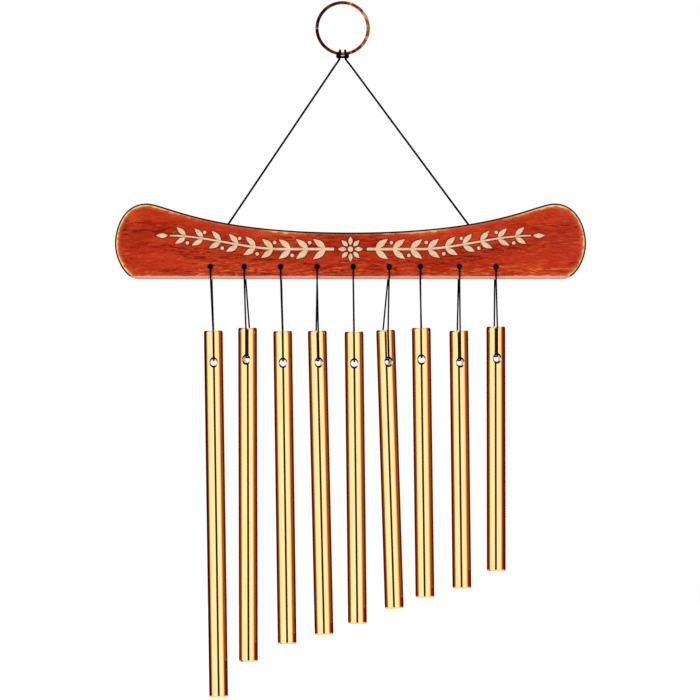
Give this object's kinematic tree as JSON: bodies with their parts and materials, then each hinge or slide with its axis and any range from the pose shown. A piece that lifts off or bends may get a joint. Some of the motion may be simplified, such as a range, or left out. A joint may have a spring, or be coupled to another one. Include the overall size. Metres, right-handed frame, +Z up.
{
  "type": "hand chime",
  "caption": "Hanging hand chime: solid metal rods of graded length in cord loops below a shaped wooden bar, carried by a doubled cord on a wire ring.",
  "frame": {"origin": "the point inside the top of the ring where a hook or a finger carries the chime", "axes": "+Z up, +X along the bar towards the shortest rod, -Y out of the ornamented front"},
  "size_m": [0.316, 0.0235, 0.4676],
  "materials": {
    "bronze_wire": "antiqued, half polished",
    "waxed_cord": "waxed, matt",
    "stained_wood": "red-brown stain under gloss lacquer",
    "gold_aluminium": "polished, gold anodised"
  },
  "bodies": {
    "ring": {"ring": "bronze_wire"},
    "hanger": {"hanger_cord": "waxed_cord"},
    "bar": {"bar": "stained_wood", "hanger_cord_end_left": "waxed_cord", "hanger_cord_end_right": "waxed_cord"},
    "loop_1": {"loop_1": "waxed_cord"},
    "loop_2": {"loop_2": "waxed_cord"},
    "loop_3": {"loop_3": "waxed_cord"},
    "loop_4": {"loop_4": "waxed_cord"},
    "loop_5": {"loop_5": "waxed_cord"},
    "loop_6": {"loop_6": "waxed_cord"},
    "loop_7": {"loop_7": "waxed_cord"},
    "loop_8": {"loop_8": "waxed_cord"},
    "loop_9": {"loop_9": "waxed_cord"},
    "rod_1": {"rod_1": "gold_aluminium"},
    "rod_2": {"rod_2": "gold_aluminium"},
    "rod_3": {"rod_3": "gold_aluminium"},
    "rod_4": {"rod_4": "gold_aluminium"},
    "rod_5": {"rod_5": "gold_aluminium"},
    "rod_6": {"rod_6": "gold_aluminium"},
    "rod_7": {"rod_7": "gold_aluminium"},
    "rod_8": {"rod_8": "gold_aluminium"},
    "rod_9": {"rod_9": "gold_aluminium"}
  },
  "joints": [
    {"name": "hanger_swing", "type": "hinge", "parent": "ring", "child": "hanger", "pos_m": [0, 0, -0.0333], "axis": [1, 0, 0], "range_deg": [-75, 75]},
    {"name": "bar_rock", "type": "hinge", "parent": "hanger", "child": "bar", "pos_m": [0.0053, 0, -0.1477], "axis": [1, 0, 0], "range_deg": [-40, 40]},
    {"name": "loop_1_swing", "type": "hinge", "parent": "bar", "child": "loop_1", "pos_m": [-0.0885, 0, -0.17702], "axis": [0, 1, 0], "range_deg": [-1.5, 25]},
    {"name": "rod_1_swing", "type": "hinge", "parent": "loop_1", "child": "rod_1", "pos_m": [-0.0866, 0, -0.23927], "axis": [-0.0174, 0.9998, -0.0003], "range_deg": [-2, 20]},
    {"name": "loop_2_swing", "type": "hinge", "parent": "bar", "child": "loop_2", "pos_m": [-0.0659, 0, -0.17702], "axis": [0, 1, 0], "range_deg": [-2.9, 1.5]},
    {"name": "rod_2_swing", "type": "hinge", "parent": "loop_2", "child": "rod_2", "pos_m": [-0.0638, 0, -0.23737], "axis": [0.1392, 0.9903, 0.0004], "range_deg": [-3.9, 2]},
    {"name": "loop_3_swing", "type": "hinge", "parent": "bar", "child": "loop_3", "pos_m": [-0.0415, 0, -0.17702], "axis": [0, 1, 0], "range_deg": [-2.7, 2.9]},
    {"name": "rod_3_swing", "type": "hinge", "parent": "loop_3", "child": "rod_3", "pos_m": [-0.04, 0, -0.23957], "axis": [0, 1, 0], "range_deg": [-3.6, 3.9]},
    {"name": "loop_4_swing", "type": "hinge", "parent": "bar", "child": "loop_4", "pos_m": [-0.0171, 0, -0.17702], "axis": [0, 1, 0], "range_deg": [-2.2, 2.7]},
    {"name": "rod_4_swing", "type": "hinge", "parent": "loop_4", "child": "rod_4", "pos_m": [-0.0166, 0, -0.23937], "axis": [-0.1045, 0.9945, -0.0024], "range_deg": [-3, 3.7]},
    {"name": "loop_5_swing", "type": "hinge", "parent": "bar", "child": "loop_5", "pos_m": [0.0071, 0, -0.17702], "axis": [0, 1, 0], "range_deg": [-2.9, 2.2]},
    {"name": "rod_5_swing", "type": "hinge", "parent": "loop_5", "child": "rod_5", "pos_m": [0.0079, 0, -0.23997], "axis": [0.0174, 0.9998, 0.0002], "range_deg": [-4, 3]},
    {"name": "loop_6_swing", "type": "hinge", "parent": "bar", "child": "loop_6", "pos_m": [0.0312, 0, -0.17702], "axis": [0, 1, 0], "range_deg": [-1.9, 2.9]},
    {"name": "rod_6_swing", "type": "hinge", "parent": "loop_6", "child": "rod_6", "pos_m": [0.0295, 0, -0.23887], "axis": [-0.2248, 0.9744, -0.007], "range_deg": [-2.8, 4.2]},
    {"name": "loop_7_swing", "type": "hinge", "parent": "bar", "child": "loop_7", "pos_m": [0.0521, 0, -0.17702], "axis": [0, 1, 0], "range_deg": [-3.1, 2]},
    {"name": "rod_7_swing", "type": "hinge", "parent": "loop_7", "child": "rod_7", "pos_m": [0.0531, 0, -0.23737], "axis": [0.0349, 0.9994, 0.0005], "range_deg": [-4.3, 2.7]},
    {"name": "loop_8_swing", "type": "hinge", "parent": "bar", "child": "loop_8", "pos_m": [0.0783, 0, -0.17702], "axis": [0, 1, 0], "range_deg": [-2.8, 3.1]},
    {"name": "rod_8_swing", "type": "hinge", "parent": "loop_8", "child": "rod_8", "pos_m": [0.0783, 0, -0.23927], "axis": [-0.1045, 0.9945, -0.0013], "range_deg": [-4.1, 4.4]},
    {"name": "loop_9_swing", "type": "hinge", "parent": "bar", "child": "loop_9", "pos_m": [0.1027, 0, -0.17702], "axis": [0, 1, 0], "range_deg": [-25, 2.8]},
    {"name": "rod_9_swing", "type": "hinge", "parent": "loop_9", "child": "rod_9", "pos_m": [0.103, 0, -0.23657], "axis": [-0.1045, 0.9945, -0.0002], "range_deg": [-20, 4]}
  ]
}
